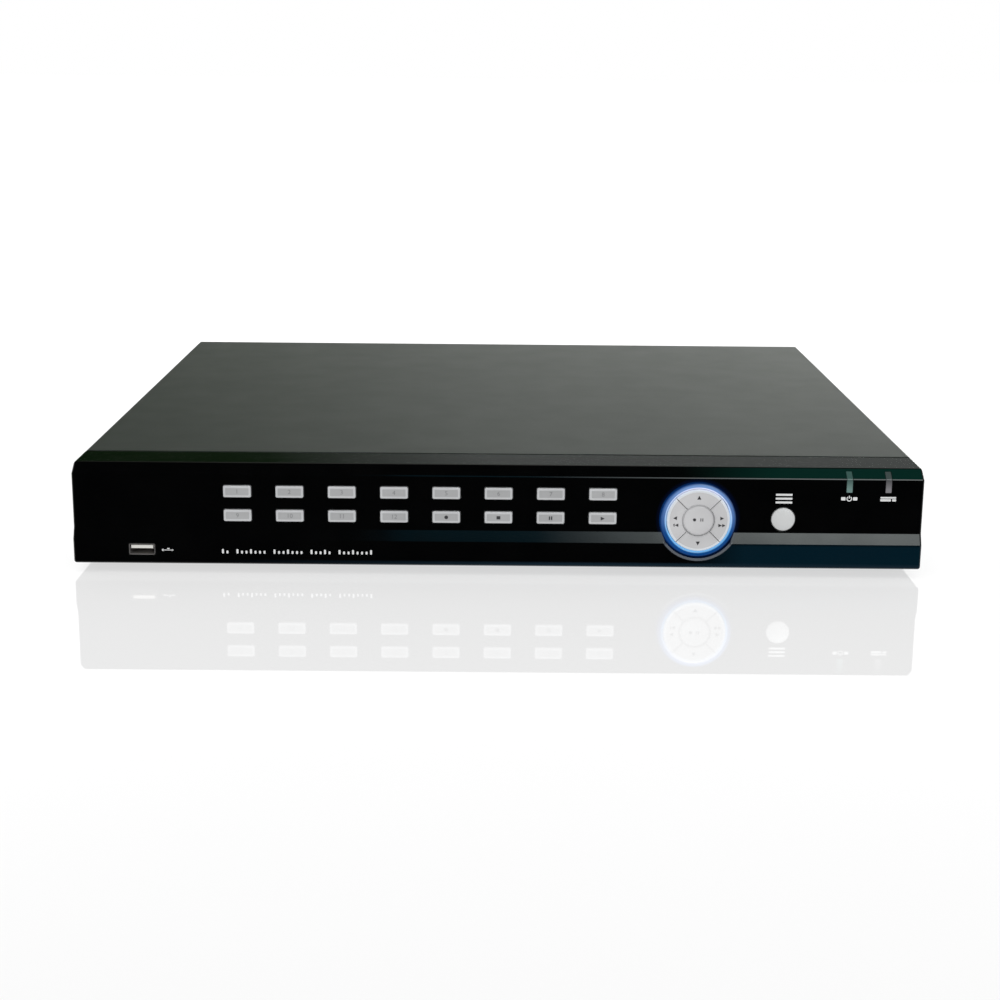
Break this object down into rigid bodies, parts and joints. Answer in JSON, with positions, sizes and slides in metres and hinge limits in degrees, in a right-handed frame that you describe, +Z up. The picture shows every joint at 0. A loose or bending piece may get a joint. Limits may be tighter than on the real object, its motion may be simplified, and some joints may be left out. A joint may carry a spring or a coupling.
{
  "type": "dvr recorder",
  "caption": "Flat steel-cased video recorder with a gloss front, channel keys, a lit round navigation pad, rear coaxial sockets, a fan and a mains switch.",
  "frame": {"origin": "centre of the outline, on the surface that the four feet stand on", "axes": "+X to the right seen from the front and along the longest side, +Y from the front bezel to the rear sockets, +Z up"},
  "size_m": [0.4338, 0.394, 0.0555],
  "materials": {
    "cover_paint": "satin",
    "chassis_steel": "satin",
    "gloss_black": "gloss",
    "silver_key": "satin",
    "blue_guide": "gloss, translucent, lit",
    "green_guide": "satin, translucent",
    "grey_guide": "satin, translucent",
    "foot_rubber": "matt",
    "keypad_rubber": "matt",
    "circuit_board": "solder mask",
    "nickel_shell": "nickel plate",
    "black_plastic": "moulded",
    "terminal_green": "moulded",
    "bare_aluminium": "as cast",
    "zinc_steel": "zinc plate",
    "ribbon_grey": "satin",
    "data_red": "satin",
    "lead_yellow": "satin",
    "screw_black": "black zinc"
  },
  "bodies": {
    "recorder_case": {"top_cover": "cover_paint", "chassis": "chassis_steel", "front_bezel": "gloss_black", "light_ring": "blue_guide", "power_led_window": "green_guide", "drive_led_window": "grey_guide", "foot_front_left": "foot_rubber", "foot_front_right": "foot_rubber", "foot_rear_left": "foot_rubber", "foot_rear_right": "foot_rubber", "keypad_mat": "keypad_rubber", "key_board": "circuit_board", "main_board": "circuit_board", "power_supply": "circuit_board", "front_usb_port": "nickel_shell", "video_input_block_1": "nickel_shell", "video_input_block_2": "nickel_shell", "monitor_output_block": "nickel_shell", "network_usb_stack": "nickel_shell", "vga_port": "nickel_shell", "audio_jack_block": "black_plastic", "power_inlet": "black_plastic", "power_switch_housing": "black_plastic", "fan_frame": "black_plastic", "terminal_block": "terminal_green", "processor_heatsink": "bare_aluminium", "hard_drive": "bare_aluminium", "drive_tray": "zinc_steel", "front_ribbon_cable": "ribbon_grey", "drive_data_cable": "data_red", "drive_power_cable": "lead_yellow", "supply_cable": "lead_yellow", "cover_screw_left_front": "screw_black", "cover_screw_left_rear": "screw_black", "cover_screw_right_front": "screw_black", "cover_screw_right_rear": "screw_black"},
    "channel_key_01_body": {"channel_key_01": "silver_key"},
    "channel_key_02_body": {"channel_key_02": "silver_key"},
    "channel_key_03_body": {"channel_key_03": "silver_key"},
    "channel_key_04_body": {"channel_key_04": "silver_key"},
    "channel_key_05_body": {"channel_key_05": "silver_key"},
    "channel_key_06_body": {"channel_key_06": "silver_key"},
    "channel_key_07_body": {"channel_key_07": "silver_key"},
    "channel_key_08_body": {"channel_key_08": "silver_key"},
    "channel_key_09_body": {"channel_key_09": "silver_key"},
    "channel_key_10_body": {"channel_key_10": "silver_key"},
    "channel_key_11_body": {"channel_key_11": "silver_key"},
    "channel_key_12_body": {"channel_key_12": "silver_key"},
    "channel_key_13_body": {"channel_key_13": "silver_key"},
    "channel_key_14_body": {"channel_key_14": "silver_key"},
    "channel_key_15_body": {"channel_key_15": "silver_key"},
    "channel_key_16_body": {"channel_key_16": "silver_key"},
    "nav_key_up_body": {"nav_key_up": "silver_key"},
    "nav_key_right_body": {"nav_key_right": "silver_key"},
    "nav_key_down_body": {"nav_key_down": "silver_key"},
    "nav_key_left_body": {"nav_key_left": "silver_key"},
    "enter_key_body": {"enter_key": "silver_key"},
    "menu_key_body": {"menu_key": "silver_key"},
    "power_rocker_body": {"power_rocker": "black_plastic"},
    "fan_rotor_body": {"fan_rotor": "black_plastic"}
  },
  "joints": [
    {"name": "channel_key_01_press", "type": "slide", "parent": "recorder_case", "child": "channel_key_01_body", "axis": [0, 1, 0], "range_m": [0, 0.0008], "stiffness_N_per_m": 500},
    {"name": "channel_key_02_press", "type": "slide", "parent": "recorder_case", "child": "channel_key_02_body", "axis": [0, 1, 0], "range_m": [0, 0.0008], "stiffness_N_per_m": 500},
    {"name": "channel_key_03_press", "type": "slide", "parent": "recorder_case", "child": "channel_key_03_body", "axis": [0, 1, 0], "range_m": [0, 0.0008], "stiffness_N_per_m": 500},
    {"name": "channel_key_04_press", "type": "slide", "parent": "recorder_case", "child": "channel_key_04_body", "axis": [0, 1, 0], "range_m": [0, 0.0008], "stiffness_N_per_m": 500},
    {"name": "channel_key_05_press", "type": "slide", "parent": "recorder_case", "child": "channel_key_05_body", "axis": [0, 1, 0], "range_m": [0, 0.0008], "stiffness_N_per_m": 500},
    {"name": "channel_key_06_press", "type": "slide", "parent": "recorder_case", "child": "channel_key_06_body", "axis": [0, 1, 0], "range_m": [0, 0.0008], "stiffness_N_per_m": 500},
    {"name": "channel_key_07_press", "type": "slide", "parent": "recorder_case", "child": "channel_key_07_body", "axis": [0, 1, 0], "range_m": [0, 0.0008], "stiffness_N_per_m": 500},
    {"name": "channel_key_08_press", "type": "slide", "parent": "recorder_case", "child": "channel_key_08_body", "axis": [0, 1, 0], "range_m": [0, 0.0008], "stiffness_N_per_m": 500},
    {"name": "channel_key_09_press", "type": "slide", "parent": "recorder_case", "child": "channel_key_09_body", "axis": [0, 1, 0], "range_m": [0, 0.0008], "stiffness_N_per_m": 500},
    {"name": "channel_key_10_press", "type": "slide", "parent": "recorder_case", "child": "channel_key_10_body", "axis": [0, 1, 0], "range_m": [0, 0.0008], "stiffness_N_per_m": 500},
    {"name": "channel_key_11_press", "type": "slide", "parent": "recorder_case", "child": "channel_key_11_body", "axis": [0, 1, 0], "range_m": [0, 0.0008], "stiffness_N_per_m": 500},
    {"name": "channel_key_12_press", "type": "slide", "parent": "recorder_case", "child": "channel_key_12_body", "axis": [0, 1, 0], "range_m": [0, 0.0008], "stiffness_N_per_m": 500},
    {"name": "channel_key_13_press", "type": "slide", "parent": "recorder_case", "child": "channel_key_13_body", "axis": [0, 1, 0], "range_m": [0, 0.0008], "stiffness_N_per_m": 500},
    {"name": "channel_key_14_press", "type": "slide", "parent": "recorder_case", "child": "channel_key_14_body", "axis": [0, 1, 0], "range_m": [0, 0.0008], "stiffness_N_per_m": 500},
    {"name": "channel_key_15_press", "type": "slide", "parent": "recorder_case", "child": "channel_key_15_body", "axis": [0, 1, 0], "range_m": [0, 0.0008], "stiffness_N_per_m": 500},
    {"name": "channel_key_16_press", "type": "slide", "parent": "recorder_case", "child": "channel_key_16_body", "axis": [0, 1, 0], "range_m": [0, 0.0008], "stiffness_N_per_m": 500},
    {"name": "nav_key_up_press", "type": "slide", "parent": "recorder_case", "child": "nav_key_up_body", "axis": [0, 1, 0], "range_m": [0, 0.0008], "stiffness_N_per_m": 500},
    {"name": "nav_key_right_press", "type": "slide", "parent": "recorder_case", "child": "nav_key_right_body", "axis": [0, 1, 0], "range_m": [0, 0.0008], "stiffness_N_per_m": 500},
    {"name": "nav_key_down_press", "type": "slide", "parent": "recorder_case", "child": "nav_key_down_body", "axis": [0, 1, 0], "range_m": [0, 0.0008], "stiffness_N_per_m": 500},
    {"name": "nav_key_left_press", "type": "slide", "parent": "recorder_case", "child": "nav_key_left_body", "axis": [0, 1, 0], "range_m": [0, 0.0008], "stiffness_N_per_m": 500},
    {"name": "enter_key_press", "type": "slide", "parent": "recorder_case", "child": "enter_key_body", "axis": [0, 1, 0], "range_m": [0, 0.0008], "stiffness_N_per_m": 500},
    {"name": "menu_key_press", "type": "slide", "parent": "recorder_case", "child": "menu_key_body", "axis": [0, 1, 0], "range_m": [0, 0.0008], "stiffness_N_per_m": 500},
    {"name": "power_rocker_tilt", "type": "hinge", "parent": "recorder_case", "child": "power_rocker_body", "pos_m": [0.146, 0.1832, 0.028], "axis": [1, 0, 0], "range_deg": [-24, 0]},
    {"name": "fan_rotor_spin", "type": "hinge", "parent": "recorder_case", "child": "fan_rotor_body", "pos_m": [0.112, 0.1784, 0.029], "axis": [0, 1, 0], "continuous": true}
  ]
}
